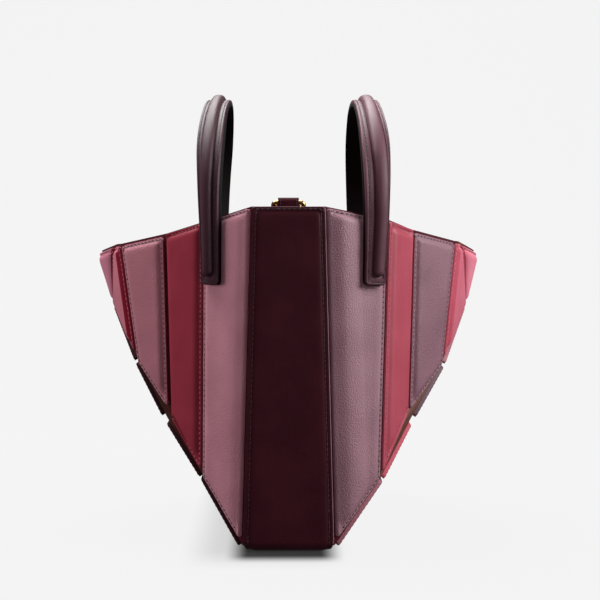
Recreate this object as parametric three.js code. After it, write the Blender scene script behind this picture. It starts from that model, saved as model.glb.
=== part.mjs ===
import * as THREE from 'three';

// Leather tote of folded padded panels, in millimetres: X across the two broad sides,
// Y from the front end strip to the back one, Z up from the floor.

// Leather thicknesses and the air left between pieces that are sewn together.
const SEAT_GAP = 0.3;
const BODY_WALL = 2;
const FLANGE_THICK = 1.8;
const FLANGE_WIDTH = 2.2;
const PAD_RISE = 1.6;
const PAD_BEVEL = 3.2;
const PANEL_CORNER = 2;

// Folds of the body's outer face in the front quarters, from the end strip to the petal.
// rim: where the fold meets the rim. foot: where it meets the underside. The back mirrors the front.
// The leather has settled wider on the right than on the left.
const FOLDS = {
  right: [
    { rimX: 24.6, rimY: -138, rimZ: 232, footX: 31.1, footZ: 3.9 },
    { rimX: 67, rimY: -121, rimZ: 223.5, footX: 62.3, footZ: 47 },
    { rimX: 85.5, rimY: -88, rimZ: 216.5, footX: 82, footZ: 83.5 },
    { rimX: 119, rimY: -54.5, rimZ: 208, footX: 109.3, footZ: 120 },
    { rimX: 123.3, rimY: -41.2, rimZ: 207.5, footX: 129.6, footZ: 159.5 },
  ],
  left: [
    { rimX: 24.6, rimY: -138, rimZ: 232, footX: 31.1, footZ: 3.9 },
    { rimX: 57, rimY: -110, rimZ: 222, footX: 58.3, footZ: 47 },
    { rimX: 85, rimY: -82, rimZ: 213.5, footX: 81.3, footZ: 84.5 },
    { rimX: 119, rimY: -54.5, rimZ: 206, footX: 106.5, footZ: 123 },
    { rimX: 123.5, rimY: -40.6, rimZ: 205.5, footX: 126.6, footZ: 160.5 },
  ],
};
const FIRST_FOOT_Y = -136;
const NOSE_X = 139;
const NOSE_Z = 199.8;

// The underside stands out past the panels at its middle fold.
const HIP_FOLD = 2;
const HIP_OUT = 3.2;

// Rings of panels from the strip inwards: half of the slot at each upright side, how far the mitred
// foot stops short of the underside at its two ends, and the band's distance from its two folds.
const RINGS = [
  { ring: 'a', innerSlot: 0.4, outerSlot: 0.8, innerFoot: 3, outerFoot: 1.2, bandLow: 0.5, bandHigh: 0.8 },
  { ring: 'b', innerSlot: 0.8, outerSlot: 2, innerFoot: 2.5, outerFoot: 4.5, bandLow: 0.8, bandHigh: 3 },
  { ring: 'c', innerSlot: 2, outerSlot: 1, innerFoot: 4, outerFoot: 0.8, bandLow: 3, bandHigh: 1 },
  { ring: 'd', innerSlot: 1, outerSlot: 1, innerFoot: 5, outerFoot: 2, bandLow: 1, bandHigh: 1 },
];
const RING_COLOURS = { a: '#8f6873', b: '#9c4553', c: '#8f6873', d: '#b0606f' };
const PANEL_DROP = 2;
const BAND_END = 1.6;
const BAND_THICK = 2.7;
const BAND_RISE = 0.7;
const PETAL_COLOUR = '#b0606f';

// Petal and the nose of the body under it: columns across the nose, rows down it, as shares.
const NOSE_COLUMNS = [-1, -0.965, -0.87, -0.81, -0.54, -0.27, 0, 0.27, 0.54, 0.81, 0.87, 0.965, 1];
const NOSE_ROWS = [0, 0.06, 0.15, 0.24, 0.5, 0.77, 0.86, 0.95, 1];

// End strip: front, base and back in one length.
const STRIP_TOP_Z = 230.5;
const STRIP_TOP_HALF = 24.7;
const STRIP_BASE_HALF = 30.6;
const STRIP_BEND = 2.2;
const STRIP_THICK = 2.6;
const STRIP_RISE = 0.8;
const STRIP_SEAT_Z = STRIP_THICK + STRIP_RISE;
const BASE_CORNER = 2.2;
const BASE_HALF = 30.9;
const STRIP_COLOUR = '#3a151e';
const BODY_COLOUR = '#6b4036';

// Handles: flat strap with a padded roll along its middle, sewn to the outer margin of panel a.
const STRAP_WIDTH = 21;
const STRAP_THICK = 4.8;
const ROLL_WIDTH = 10.5;
const ROLL_RISE = 3.9;
const STRAP_FOOT_Z = 177.5;
const STRAP_APEX_Z = 315;
const STRAP_EDGE_IN = 1.1;
const STRAP_FOOT_SHARE = 0.77;
const STRAP_FULL_Z = 251.5;
const ROLL_END = 7;
const ROLL_FADE = 5;
const ARCH_POWER = 2.5;
const STRAP_COLOUR = '#43222d';

// Tab and ring at the middle of each end of the rim.
const TAB_WIDTH = 14;
const TAB_THICK = 1.4;
const TAB_FOOT_Z = 212.5;
const RING_BAR = 3;
const RING_SPAN = 23.3;
const RING_HEIGHT = 15;
const RING_CORNER = 3.2;
const RING_BAR_Z = 234.7;
const RING_PLAY = 0.35;
const RING_LEAN_DEG = 12;
const RING_COLOUR = '#c2a366';

const part = new THREE.Group();
part.name = 'tote_bag';

function point(x, y, z) {
  return new THREE.Vector3(x, y, z);
}

function lerp(a, b, t) {
  return a + (b - a) * t;
}

// A closed body from corner points and triangles, mirrored where asked, faces outward.
function addSolid(name, piece, look, mirror = { x: 1, y: 1 }) {
  const corners = piece.corners.map((p) => point(p.x * mirror.x, p.y * mirror.y, p.z));
  let volume = 0;
  for (const [a, b, c] of piece.faces) {
    volume += corners[a].dot(corners[b].clone().cross(corners[c]));
  }
  const faces = volume > 0 ? piece.faces : piece.faces.map(([a, b, c]) => [a, c, b]);
  const geometry = new THREE.BufferGeometry();
  geometry.setAttribute('position', new THREE.Float32BufferAttribute(corners.flatMap((p) => p.toArray()), 3));
  geometry.setIndex(faces.flat());
  geometry.computeVertexNormals();
  const mesh = new THREE.Mesh(geometry, new THREE.MeshStandardMaterial({ metalness: 0, ...look }));
  mesh.name = name;
  part.add(mesh);
}

// Skin over a row of loops that all have the same number of points.
function loft(loops, closed = false) {
  const count = loops[0].length;
  const corners = loops.flat();
  const faces = [];
  const last = closed ? loops.length : loops.length - 1;
  for (let row = 0; row < last; row += 1) {
    const next = (row + 1) % loops.length;
    for (let i = 0; i < count; i += 1) {
      const j = (i + 1) % count;
      faces.push([row * count + i, row * count + j, next * count + j]);
      faces.push([row * count + i, next * count + j, next * count + i]);
    }
  }
  if (!closed) {
    const end = (loops.length - 1) * count;
    for (let i = 1; i < count - 1; i += 1) {
      faces.push([0, i + 1, i]);
      faces.push([end, end + i, end + i + 1]);
    }
  }
  return { corners, faces };
}

// Corners of the body's folds. Each panel is flat, which settles how far out its foot lies.
function footOnPanel(rimA, rimB, footA, row) {
  const normal = rimB.clone().sub(rimA).cross(footA.clone().sub(rimA));
  const offX = (row.footX - rimA.x) * normal.x;
  const offZ = (row.footZ - rimA.z) * normal.z;
  return point(row.footX, rimA.y - (offX + offZ) / normal.y, row.footZ);
}

function foldCorners(rows) {
  const rim = rows.map((row) => point(row.rimX, row.rimY, row.rimZ));
  const foot = [point(rows[0].footX, FIRST_FOOT_Y, rows[0].footZ)];
  for (let i = 1; i < rows.length; i += 1) {
    foot.push(footOnPanel(rim[i - 1], rim[i], foot[i - 1], rows[i]));
  }
  const under = foot.map((p, i) => (i === HIP_FOLD ? point(p.x + HIP_OUT, p.y, p.z) : p));
  return { rim, foot, under };
}

const SIDES = [{ side: 'right', x: 1 }, { side: 'left', x: -1 }];
const folds = { right: foldCorners(FOLDS.right), left: foldCorners(FOLDS.left) };
const last = FOLDS.right.length - 1;
const endY = FOLDS.right[0].rimY;

// The nose swells outward at the rim and lies flat at its foot.
function nosePoint({ rim, foot }, column, row) {
  const swell = 1 - column * column;
  const crest = lerp(rim[last].z, NOSE_Z, swell);
  const top = point(lerp(rim[last].x, NOSE_X, swell), -rim[last].y * column, crest);
  const low = point(foot[last].x, -foot[last].y * column, foot[last].z);
  return top.lerp(low, row);
}

// Body: outer face from its folds, inner face one wall further in, joined at the rim.
function bodyShell() {
  const corners = [];
  const keys = new Map();
  const outer = [];

  function corner(p) {
    const key = p.toArray().map((value) => Math.round(value * 100)).join(' ');
    if (!keys.has(key)) {
      keys.set(key, corners.length);
      corners.push(p);
    }
    return keys.get(key);
  }

  // Fan over a flat face, turned to look away from the middle of the bag.
  function face(points) {
    const middle = points.reduce((sum, p) => sum.add(p), point(0, 0, 0)).divideScalar(points.length);
    const ids = points.map(corner);
    for (let i = 1; i < ids.length - 1; i += 1) {
      const [a, b, c] = [points[0], points[i], points[i + 1]];
      const normal = b.clone().sub(a).cross(c.clone().sub(a));
      const away = normal.dot(middle.clone().sub(point(0, 0, 150))) > 0;
      outer.push(away ? [ids[0], ids[i], ids[i + 1]] : [ids[0], ids[i + 1], ids[i]]);
    }
  }

  const bendHigh = point(BASE_HALF, endY, STRIP_SEAT_Z + SEAT_GAP + BASE_CORNER);
  const bendLow = point(BASE_HALF, endY + BASE_CORNER, STRIP_SEAT_Z + SEAT_GAP);
  const place = (p, sx, sy) => point(p.x * sx, p.y * sy, p.z);

  for (const { side, x: sx } of SIDES) {
    const { rim, foot, under } = folds[side];
    const nose = (column, row) => nosePoint(folds[side], column, row);
    for (const sy of [1, -1]) {
      for (let i = 0; i < last - 1; i += 1) {
        face([rim[i], rim[i + 1], foot[i + 1], foot[i]].map((p) => place(p, sx, sy)));
      }
      const noseEdge = NOSE_ROWS.map((row) => nose(-1, row));
      face([rim[last - 1], ...noseEdge, foot[last - 1]].map((p) => place(p, sx, sy)));
      for (const i of [HIP_FOLD - 1, HIP_FOLD]) {
        face([foot[i], foot[i + 1], under[HIP_FOLD]].map((p) => place(p, sx, sy)));
      }
      face([rim[0], bendHigh, foot[0]].map((p) => place(p, sx, sy)));
      face([bendHigh, bendLow, foot[0]].map((p) => place(p, sx, sy)));
    }
    for (let i = 0; i < last; i += 1) {
      const high = i === last - 1 ? NOSE_COLUMNS.map((column) => nose(column, 1)) : [
        under[i + 1], place(under[i + 1], 1, -1)];
      face([under[i], ...high, place(under[i], 1, -1)].map((p) => place(p, sx, 1)));
    }
    face([foot[0], bendLow, place(bendLow, 1, -1), place(foot[0], 1, -1)].map((p) => place(p, sx, 1)));
    for (let c = 0; c < NOSE_COLUMNS.length - 1; c += 1) {
      for (let r = 0; r < NOSE_ROWS.length - 1; r += 1) {
        const quad = [[c, r], [c + 1, r], [c + 1, r + 1], [c, r + 1]];
        face(quad.map(([i, j]) => place(nose(NOSE_COLUMNS[i], NOSE_ROWS[j]), sx, 1)));
      }
    }
  }
  const [corner0] = folds.right.rim;
  for (const sy of [1, -1]) {
    face([corner0, place(corner0, -1, 1), place(bendHigh, -1, 1), bendHigh].map((p) => place(p, 1, sy)));
    face([bendHigh, place(bendHigh, -1, 1), place(bendLow, -1, 1), bendLow].map((p) => place(p, 1, sy)));
  }
  face([bendLow, place(bendLow, -1, 1), place(bendLow, -1, -1), place(bendLow, 1, -1)]);

  const edges = new Map();
  for (const [a, b, c] of outer) {
    for (const [from, to] of [[a, b], [b, c], [c, a]]) {
      edges.set(`${from} ${to}`, [from, to]);
    }
  }
  const open = [...edges.values()].filter(([from, to]) => !edges.has(`${to} ${from}`));
  const onRim = new Set(open.flat());

  const inner = corners.map((p, id) => insetCorner(p, id, corners, outer, onRim.has(id)));
  const shift = corners.length;
  const faces = [...outer];
  for (const [a, b, c] of outer) {
    faces.push([a + shift, c + shift, b + shift]);
  }
  for (const [from, to] of open) {
    faces.push([to, from, from + shift]);
    faces.push([to, from + shift, to + shift]);
  }
  return { corners: [...corners, ...inner], faces };
}

// Moves one corner inward by the wall, square to every face that meets there.
function insetCorner(p, id, corners, faces, level) {
  const rows = [];
  for (const [a, b, c] of faces) {
    if (a !== id && b !== id && c !== id) {
      continue;
    }
    const cross = corners[b].clone().sub(corners[a]).cross(corners[c].clone().sub(corners[a]));
    rows.push({ normal: cross.clone().normalize(), weight: Math.sqrt(cross.length()), move: -BODY_WALL });
  }
  if (level) {
    rows.push({ normal: point(0, 0, 1), weight: 1000, move: 0 });
  }
  const matrix = new THREE.Matrix3().set(0, 0, 0, 0, 0, 0, 0, 0, 0);
  const right = point(0, 0, 0);
  for (const { normal, weight, move } of rows) {
    const n = normal.toArray();
    for (let i = 0; i < 3; i += 1) {
      for (let j = 0; j < 3; j += 1) {
        matrix.elements[j * 3 + i] += weight * n[i] * n[j];
      }
    }
    right.addScaledVector(normal, weight * move);
  }
  const ease = 0.002 * (matrix.elements[0] + matrix.elements[4] + matrix.elements[8]);
  for (const k of [0, 4, 8]) {
    matrix.elements[k] += ease;
  }
  return p.clone().add(right.applyMatrix3(matrix.invert()));
}

// Flat outline helpers: edge i runs from corner i to the next one.
function insetOutline(outline, margins) {
  const count = outline.length;
  const area = outline.reduce((sum, p, i) => sum + p.cross(outline[(i + 1) % count]), 0);
  const turn = Math.sign(area);
  const lines = outline.map((p, i) => {
    const along = outline[(i + 1) % count].clone().sub(p).normalize();
    const inward = new THREE.Vector2(-along.y, along.x).multiplyScalar(turn * margins[i]);
    return { start: p.clone().add(inward), along };
  });
  return lines.map((line, i) => {
    const before = lines[(i + count - 1) % count];
    const reach = before.start.clone().sub(line.start).cross(before.along) / line.along.cross(before.along);
    return line.start.clone().addScaledVector(line.along, reach);
  });
}

function roundOutline(outline, radius) {
  const count = outline.length;
  return outline.flatMap((p, i) => {
    const back = outline[(i + count - 1) % count].clone().sub(p).normalize();
    const ahead = outline[(i + 1) % count].clone().sub(p).normalize();
    const half = Math.acos(THREE.MathUtils.clamp(back.dot(ahead), -1, 1)) / 2;
    const reach = radius / Math.tan(half);
    const from = p.clone().addScaledVector(back, reach);
    const to = p.clone().addScaledVector(ahead, reach);
    const crown = from.clone().add(to).multiplyScalar(0.25).addScaledVector(p, 0.5);
    return [from, crown, to];
  });
}

// Padded panel on a flat face of the body: sewn flange all round, raised middle.
function paddedPanel(corners, margins, thick, rise) {
  const across = corners[1].clone().sub(corners[0]).normalize();
  const normal = across.clone().cross(corners[3].clone().sub(corners[0])).normalize();
  const middle = corners.reduce((sum, p) => sum.add(p), point(0, 0, 0)).divideScalar(corners.length);
  if (normal.dot(middle.sub(point(0, 0, 150))) < 0) {
    normal.negate();
  }
  const up = normal.clone().cross(across);
  const outline = corners.map((p) => {
    const from = p.clone().sub(corners[0]);
    return new THREE.Vector2(from.dot(across), from.dot(up));
  });
  const levels = [
    { extra: 0, height: SEAT_GAP },
    { extra: 0, height: SEAT_GAP + thick },
    { extra: FLANGE_WIDTH, height: SEAT_GAP + thick },
    { extra: FLANGE_WIDTH + PAD_BEVEL, height: SEAT_GAP + thick + rise },
  ];
  return loft(levels.map(({ extra, height }) => {
    const flat = roundOutline(insetOutline(outline, margins.map((m) => m + extra)), PANEL_CORNER);
    return flat.map((p) => corners[0].clone()
      .addScaledVector(across, p.x).addScaledVector(up, p.y).addScaledVector(normal, height));
  }));
}

function towards(from, to, distance) {
  return from.clone().add(to.clone().sub(from).setLength(distance));
}

function uprightPanel(side, i) {
  const { rim, foot } = folds[side];
  const row = RINGS[i];
  const corners = [
    rim[i],
    rim[i + 1],
    towards(foot[i + 1], rim[i + 1], row.outerFoot),
    towards(foot[i], rim[i], row.innerFoot),
  ];
  return paddedPanel(corners, [PANEL_DROP, row.outerSlot, 0, row.innerSlot], FLANGE_THICK, PAD_RISE);
}

function undersideBand(side, i) {
  const { under } = folds[side];
  const { bandLow, bandHigh } = RINGS[i];
  const far = (p) => point(p.x, -p.y, p.z);
  const corners = [under[i], under[i + 1], far(under[i + 1]), far(under[i])];
  return paddedPanel(corners, [BAND_END, bandHigh, BAND_END, bandLow], BAND_THICK, BAND_RISE);
}

// Petal: a cushion that follows the nose, on the inner columns and rows of the same grid.
function nosePetal(side) {
  const nose = (column, row) => nosePoint(folds[side], column, row);
  const columns = NOSE_COLUMNS.slice(1, -1);
  const rows = NOSE_ROWS.slice(1, -1);
  const step = 0.01;
  const corners = [];
  const faces = [];
  const ids = { low: [], high: [] };
  columns.forEach((column, c) => {
    ids.low.push([]);
    ids.high.push([]);
    rows.forEach((row, r) => {
      const p = nose(column, row);
      const across = nose(column + step, row).sub(nose(column - step, row));
      const down = nose(column, row + step).sub(nose(column, row - step));
      const normal = down.cross(across).normalize();
      const edge = Math.min(c, r, columns.length - 1 - c, rows.length - 1 - r);
      const rise = FLANGE_THICK + (edge > 1 ? PAD_RISE : 0);
      ids.low[c].push(corners.push(p.clone().addScaledVector(normal, SEAT_GAP)) - 1);
      ids.high[c].push(corners.push(p.clone().addScaledVector(normal, SEAT_GAP + rise)) - 1);
    });
  });
  const quad = (a, b, c, d) => faces.push([a, b, c], [a, c, d]);
  for (let c = 0; c < columns.length - 1; c += 1) {
    for (let r = 0; r < rows.length - 1; r += 1) {
      quad(ids.high[c][r], ids.high[c][r + 1], ids.high[c + 1][r + 1], ids.high[c + 1][r]);
      quad(ids.low[c][r], ids.low[c + 1][r], ids.low[c + 1][r + 1], ids.low[c][r + 1]);
    }
    const end = rows.length - 1;
    quad(ids.low[c][0], ids.high[c][0], ids.high[c + 1][0], ids.low[c + 1][0]);
    quad(ids.high[c][end], ids.low[c][end], ids.low[c + 1][end], ids.high[c + 1][end]);
  }
  for (let r = 0; r < rows.length - 1; r += 1) {
    const end = columns.length - 1;
    quad(ids.high[0][r], ids.low[0][r], ids.low[0][r + 1], ids.high[0][r + 1]);
    quad(ids.low[end][r], ids.high[end][r], ids.high[end][r + 1], ids.low[end][r + 1]);
  }
  return { corners, faces };
}

// Cross-section of the end strip: flange at both edges, raised pad between them.
function stripSection(y, z, lean, half, pad) {
  const inset = half - FLANGE_WIDTH;
  const crown = STRIP_THICK + pad;
  const outline = [
    [-half, 0],
    [half, 0],
    [half, STRIP_THICK],
    [inset, STRIP_THICK],
    [inset - PAD_BEVEL, crown],
    [-inset + PAD_BEVEL, crown],
    [-inset, STRIP_THICK],
    [-half, STRIP_THICK],
  ];
  return outline.map(([x, out]) => point(x, y - out * Math.cos(lean), z - out * Math.sin(lean)));
}

function endStrip() {
  const wallY = endY - SEAT_GAP;
  const bendZ = STRIP_SEAT_Z + STRIP_BEND;
  const halfAt = (z) => lerp(STRIP_BASE_HALF, STRIP_TOP_HALF, (z - bendZ) / (STRIP_TOP_Z - bendZ));
  const front = [
    { drop: 0, pad: 0.01 },
    { drop: FLANGE_WIDTH, pad: 0.01 },
    { drop: FLANGE_WIDTH + PAD_BEVEL, pad: STRIP_RISE },
    { drop: (STRIP_TOP_Z - bendZ) / 2, pad: STRIP_RISE },
  ].map(({ drop, pad }) => stripSection(wallY, STRIP_TOP_Z - drop, 0, halfAt(STRIP_TOP_Z - drop), pad));
  for (let i = 0; i <= 6; i += 1) {
    const lean = (i / 6) * (Math.PI / 2);
    const y = wallY + STRIP_BEND * (1 - Math.cos(lean));
    const z = bendZ - STRIP_BEND * Math.sin(lean);
    front.push(stripSection(y, z, lean, STRIP_BASE_HALF, STRIP_RISE));
  }
  const back = front.map((loop) => loop.map((p) => point(p.x, -p.y, p.z))).reverse();
  return loft([...front, ...back]);
}

// Handle: from panel a at the front, over the open top, to panel a at the back.
// It narrows towards its feet.
const panelRise = SEAT_GAP + FLANGE_THICK + PAD_RISE + SEAT_GAP;

function strapShare(z) {
  const t = THREE.MathUtils.smoothstep(z, STRAP_FOOT_Z, STRAP_FULL_Z);
  return lerp(STRAP_FOOT_SHARE, 1, t);
}

function strapSection(centre, along, yaw, roll) {
  const across = point(Math.cos(yaw), Math.sin(yaw), 0);
  across.addScaledVector(along, -across.dot(along)).normalize();
  const out = across.clone().cross(along).normalize();
  const share = strapShare(centre.z);
  const half = (STRAP_WIDTH / 2) * share;
  const rollWidth = ROLL_WIDTH * share;
  const outline = [
    [-half, 0],
    [half, 0],
    [half, STRAP_THICK],
    [rollWidth * 0.5, STRAP_THICK],
    [rollWidth * 0.42, STRAP_THICK + roll * 0.55],
    [rollWidth * 0.22, STRAP_THICK + roll * 0.95],
    [-rollWidth * 0.22, STRAP_THICK + roll * 0.95],
    [-rollWidth * 0.42, STRAP_THICK + roll * 0.55],
    [-rollWidth * 0.5, STRAP_THICK],
    [-half, STRAP_THICK],
  ];
  return outline.map(([w, h]) => centre.clone().addScaledVector(across, w).addScaledVector(out, h));
}

function handle(side) {
  const { rim, foot } = folds[side];
  const panelYaw = Math.atan2(rim[1].y - rim[0].y, rim[1].x - rim[0].x);
  const legTop = rim[1].z;

  function seat(z) {
    const edge = rim[1].clone().lerp(foot[1], (legTop - z) / (legTop - foot[1].z));
    const inward = STRAP_WIDTH / 2 + RINGS[0].outerSlot + STRAP_EDGE_IN;
    return point(
      edge.x - inward * Math.cos(panelYaw) + panelRise * Math.sin(panelYaw),
      edge.y - inward * Math.sin(panelYaw) - panelRise * Math.cos(panelYaw),
      z,
    );
  }

  const path = [];
  for (const rise of [0, ROLL_END, ROLL_END + ROLL_FADE, 28]) {
    path.push({ centre: seat(STRAP_FOOT_Z + rise), roll: rise <= ROLL_END ? 0.01 : ROLL_RISE });
  }
  const spring = seat(legTop);
  const archRise = STRAP_APEX_Z - STRAP_THICK - ROLL_RISE - legTop;
  const steps = 15;
  for (let i = 0; i <= steps; i += 1) {
    const angle = (i / steps) * (Math.PI / 2);
    const y = spring.y * Math.pow(Math.cos(angle), 2 / ARCH_POWER);
    const z = legTop + archRise * Math.pow(Math.sin(angle), 2 / ARCH_POWER);
    path.push({ centre: point(spring.x, i === steps ? 0 : y, z), roll: ROLL_RISE });
  }
  const mirrored = path.slice(0, -1).reverse().map(({ centre, roll }) => (
    { centre: point(centre.x, -centre.y, centre.z), roll }));
  const whole = [...path, ...mirrored];
  return loft(whole.map(({ centre, roll }, i) => {
    const before = whole[Math.max(i - 1, 0)].centre;
    const after = whole[Math.min(i + 1, whole.length - 1)].centre;
    const along = after.clone().sub(before).normalize();
    const yaw = panelYaw * THREE.MathUtils.clamp(centre.y / spring.y, -1, 1);
    return strapSection(centre, along, yaw, roll);
  }));
}

// Tab: leather loop over the ring's bar, both leaves sewn flat inside the rim.
const tabFrontY = endY + BODY_WALL + SEAT_GAP + TAB_THICK / 2;
const tabBend = RING_BAR / 2 + RING_PLAY + TAB_THICK / 2;
const ringBarY = tabFrontY + tabBend;

function tab() {
  const backY = tabFrontY + TAB_THICK + SEAT_GAP;
  const path = [[tabFrontY, TAB_FOOT_Z], [tabFrontY, RING_BAR_Z - 3]];
  for (let i = 0; i <= 8; i += 1) {
    const angle = (i / 8) * Math.PI;
    path.push([ringBarY - tabBend * Math.cos(angle), RING_BAR_Z + tabBend * Math.sin(angle)]);
  }
  path.push([ringBarY + tabBend - 0.3, RING_BAR_Z - 3], [backY, RING_BAR_Z - 10], [backY, TAB_FOOT_Z]);
  const half = TAB_WIDTH / 2;
  return loft(path.map(([y, z], i) => {
    const [y0, z0] = path[Math.max(i - 1, 0)];
    const [y1, z1] = path[Math.min(i + 1, path.length - 1)];
    const length = Math.hypot(y1 - y0, z1 - z0);
    const offY = (-(z1 - z0) / length) * (TAB_THICK / 2);
    const offZ = ((y1 - y0) / length) * (TAB_THICK / 2);
    return [
      point(-half, y - offY, z - offZ),
      point(half, y - offY, z - offZ),
      point(half, y + offY, z + offZ),
      point(-half, y + offY, z + offZ),
    ];
  }));
}

// Ring: round bar bent to a rounded rectangle, hanging from its top bar against the tab.
function ring() {
  const halfSpan = (RING_SPAN - RING_BAR) / 2;
  const height = RING_HEIGHT - RING_BAR;
  const lean = THREE.MathUtils.degToRad(RING_LEAN_DEG);
  const corners = [
    { x: halfSpan - RING_CORNER, drop: RING_CORNER, from: 0 },
    { x: -halfSpan + RING_CORNER, drop: RING_CORNER, from: 90 },
    { x: -halfSpan + RING_CORNER, drop: height - RING_CORNER, from: 180 },
    { x: halfSpan - RING_CORNER, drop: height - RING_CORNER, from: 270 },
  ];
  const bends = [0, 22.5, 45, 67.5, 90];
  const stations = corners.flatMap(({ x, drop, from }) => (
    bends.map((bend) => ({ x, drop, turn: THREE.MathUtils.degToRad(from + bend) }))));
  return loft(stations.map(({ x, drop, turn }) => {
    const outX = Math.cos(turn);
    const outDown = -Math.sin(turn);
    const bar = [];
    for (let i = 0; i < 10; i += 1) {
      const angle = (i / 10) * 2 * Math.PI;
      const out = RING_CORNER + (RING_BAR / 2) * Math.cos(angle);
      const depth = (RING_BAR / 2) * Math.sin(angle);
      const down = drop + outDown * out;
      bar.push(point(
        x + outX * out,
        ringBarY + down * Math.sin(lean) + depth * Math.cos(lean),
        RING_BAR_Z - down * Math.cos(lean) + depth * Math.sin(lean),
      ));
    }
    return bar;
  }), true);
}

addSolid('body', bodyShell(), { color: BODY_COLOUR, roughness: 0.7 });
addSolid('end_strip', endStrip(), { color: STRIP_COLOUR, roughness: 0.5 });

const ENDS = [{ end: 'front', y: 1 }, { end: 'back', y: -1 }];
for (const { side, x } of SIDES) {
  RINGS.forEach(({ ring: letter }, i) => {
    const look = { color: RING_COLOURS[letter], roughness: 0.5 };
    for (const { end, y } of ENDS) {
      addSolid(`panel_${letter}_${end}_${side}`, uprightPanel(side, i), look, { x, y });
    }
    addSolid(`band_${letter}_${side}`, undersideBand(side, i), look, { x, y: 1 });
  });
  addSolid(`petal_${side}`, nosePetal(side), { color: PETAL_COLOUR, roughness: 0.5 }, { x, y: 1 });
  addSolid(`handle_${side}`, handle(side), { color: STRAP_COLOUR, roughness: 0.5 }, { x, y: 1 });
}
for (const { end, y } of ENDS) {
  addSolid(`tab_${end}`, tab(), { color: STRIP_COLOUR, roughness: 0.5 }, { x: 1, y });
  addSolid(`ring_${end}`, ring(), { color: RING_COLOUR, roughness: 0.25, metalness: 1 }, { x: 1, y });
}

export default part;
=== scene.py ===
import math
from bisect import bisect_right

import bpy
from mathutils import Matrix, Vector


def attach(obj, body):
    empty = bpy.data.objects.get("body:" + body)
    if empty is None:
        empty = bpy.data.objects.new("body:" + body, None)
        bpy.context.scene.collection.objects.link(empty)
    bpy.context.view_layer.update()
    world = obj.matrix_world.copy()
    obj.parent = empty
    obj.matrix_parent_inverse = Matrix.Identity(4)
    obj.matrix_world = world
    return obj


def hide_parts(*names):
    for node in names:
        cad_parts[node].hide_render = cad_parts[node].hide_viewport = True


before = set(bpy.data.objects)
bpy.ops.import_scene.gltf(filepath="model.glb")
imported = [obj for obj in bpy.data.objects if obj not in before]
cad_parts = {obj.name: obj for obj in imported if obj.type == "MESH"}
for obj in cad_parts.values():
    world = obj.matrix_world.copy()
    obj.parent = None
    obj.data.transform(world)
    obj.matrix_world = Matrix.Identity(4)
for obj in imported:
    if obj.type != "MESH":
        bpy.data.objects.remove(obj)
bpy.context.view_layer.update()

# Body: the carcass that every panel is sewn to, dark bordeaux leather inside and out; outside it shows only
# in the slots between panels, where that dark is painted shade. It is folded to the flared form, open at the
# top, and faced in brown along the feet and underneath, in a darker brown on the left half as painted shade.

MM = 0.001
# Clouds of colour in a metre, the size of a pore, and the depths of pebble, pore and sway.
CLOUDS, PORE = 38, 0.45
PEBBLE_DEPTH, PORE_DEPTH, SWAY_DEPTH = 0.35, 0.2, 1.2


def tint(code):
    """Linear colour of a six-digit shade."""
    parts = [int(code[i:i + 2], 16) / 255 for i in (0, 2, 4)]
    return [p / 12.92 if p < 0.04045 else ((p + 0.055) / 1.055) ** 2.4 for p in parts] + [1]


def leather(name, colour, shade, pebble=0.8, relief=0.25, roughness=0.45, gloss=0.5):
    """Dyed leather: cloudy colour, pebbled grain of the given size in mm, and pores."""
    material = bpy.data.materials.new(name)
    material.use_nodes = True
    nodes, links = material.node_tree.nodes, material.node_tree.links
    surface = nodes["Principled BSDF"]
    surface.inputs["Specular IOR Level"].default_value = gloss
    place = nodes.new("ShaderNodeTexCoord")

    clouds = nodes.new("ShaderNodeTexNoise")
    clouds.inputs["Scale"].default_value = CLOUDS
    clouds.inputs["Detail"].default_value = 5
    links.new(place.outputs["Object"], clouds.inputs["Vector"])
    pores = nodes.new("ShaderNodeTexNoise")
    pores.inputs["Scale"].default_value = 1 / (PORE * MM)
    pores.inputs["Detail"].default_value = 2
    links.new(place.outputs["Object"], pores.inputs["Vector"])
    cells = nodes.new("ShaderNodeTexVoronoi")
    cells.feature = "F1"
    cells.inputs["Scale"].default_value = 1 / (pebble * MM)
    links.new(place.outputs["Object"], cells.inputs["Vector"])

    mix = nodes.new("ShaderNodeMix")
    mix.data_type = "RGBA"
    mix.inputs["A"].default_value = tint(colour)
    mix.inputs["B"].default_value = tint(shade)
    spread = nodes.new("ShaderNodeMapRange")
    spread.inputs["From Min"].default_value = 0.35
    spread.inputs["From Max"].default_value = 0.8
    links.new(clouds.outputs["Fac"], spread.inputs["Value"])
    links.new(spread.outputs["Result"], mix.inputs["Factor"])
    links.new(mix.outputs["Result"], surface.inputs["Base Color"])

    polish = nodes.new("ShaderNodeMapRange")
    polish.inputs["To Min"].default_value = roughness - 0.06
    polish.inputs["To Max"].default_value = roughness + 0.08
    links.new(pores.outputs["Fac"], polish.inputs["Value"])
    links.new(polish.outputs["Result"], surface.inputs["Roughness"])

    grain = nodes.new("ShaderNodeBump")
    grain.inputs["Strength"].default_value = relief
    grain.inputs["Distance"].default_value = PEBBLE_DEPTH * MM
    grain.invert = True
    links.new(cells.outputs["Distance"], grain.inputs["Height"])
    skin = nodes.new("ShaderNodeBump")
    skin.inputs["Strength"].default_value = relief * 0.6
    skin.inputs["Distance"].default_value = PORE_DEPTH * MM
    links.new(pores.outputs["Fac"], skin.inputs["Height"])
    links.new(grain.outputs["Normal"], skin.inputs["Normal"])
    sway = nodes.new("ShaderNodeBump")
    sway.inputs["Strength"].default_value = 0.35
    sway.inputs["Distance"].default_value = SWAY_DEPTH * MM
    links.new(clouds.outputs["Fac"], sway.inputs["Height"])
    links.new(skin.outputs["Normal"], sway.inputs["Normal"])
    links.new(sway.outputs["Normal"], surface.inputs["Normal"])
    return material


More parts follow.
